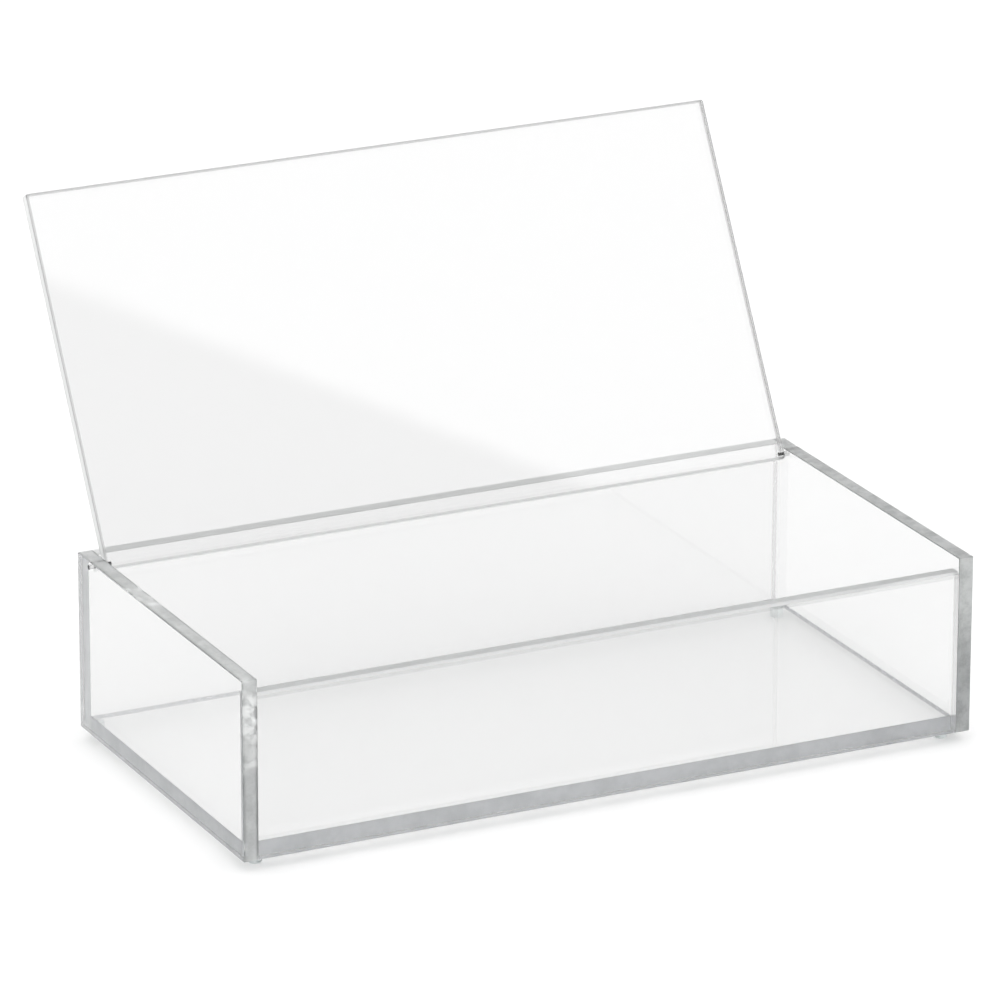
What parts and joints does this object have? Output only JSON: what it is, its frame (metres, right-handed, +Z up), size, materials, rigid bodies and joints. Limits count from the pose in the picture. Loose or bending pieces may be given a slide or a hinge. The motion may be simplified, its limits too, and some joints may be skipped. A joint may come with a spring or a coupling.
{
  "type": "storage box",
  "caption": "Clear acrylic box with glued side walls, small feet and a flat lid that turns on two pins and leans back open.",
  "frame": {"origin": "on the table, at the middle of the space that the box takes with its lid open, as in the picture", "axes": "+X along the width of the box towards its right side wall, +Y from the front wall to the back wall, +Z up"},
  "size_m": [0.3, 0.2132, 0.1968],
  "materials": {
    "floor_panel": "clear polished acrylic sheet",
    "front_wall": "clear polished acrylic sheet",
    "back_wall": "clear polished acrylic sheet",
    "left_side_wall": "clear polished acrylic sheet",
    "right_side_wall": "clear polished acrylic sheet",
    "lid": "clear polished acrylic sheet",
    "hinge_pin_left": "plain steel rod",
    "hinge_pin_right": "plain steel rod",
    "foot_front_left": "clear soft plastic stud",
    "foot_front_right": "clear soft plastic stud",
    "foot_rear_left": "clear soft plastic stud",
    "foot_rear_right": "clear soft plastic stud"
  },
  "bodies": {
    "case": {"floor_panel": "floor_panel", "front_wall": "front_wall", "back_wall": "back_wall", "left_side_wall": "left_side_wall", "right_side_wall": "right_side_wall", "hinge_pin_left": "hinge_pin_left", "hinge_pin_right": "hinge_pin_right", "foot_front_left": "foot_front_left", "foot_front_right": "foot_front_right", "foot_rear_left": "foot_rear_left", "foot_rear_right": "foot_rear_right"},
    "lid": {"lid": "lid"}
  },
  "joints": [
    {"name": "lid_hinge", "type": "hinge", "parent": "case", "child": "lid", "pos_m": [0, 0.03291, 0.0714], "axis": [1, 0, 0], "range_deg": [0, 120]}
  ]
}
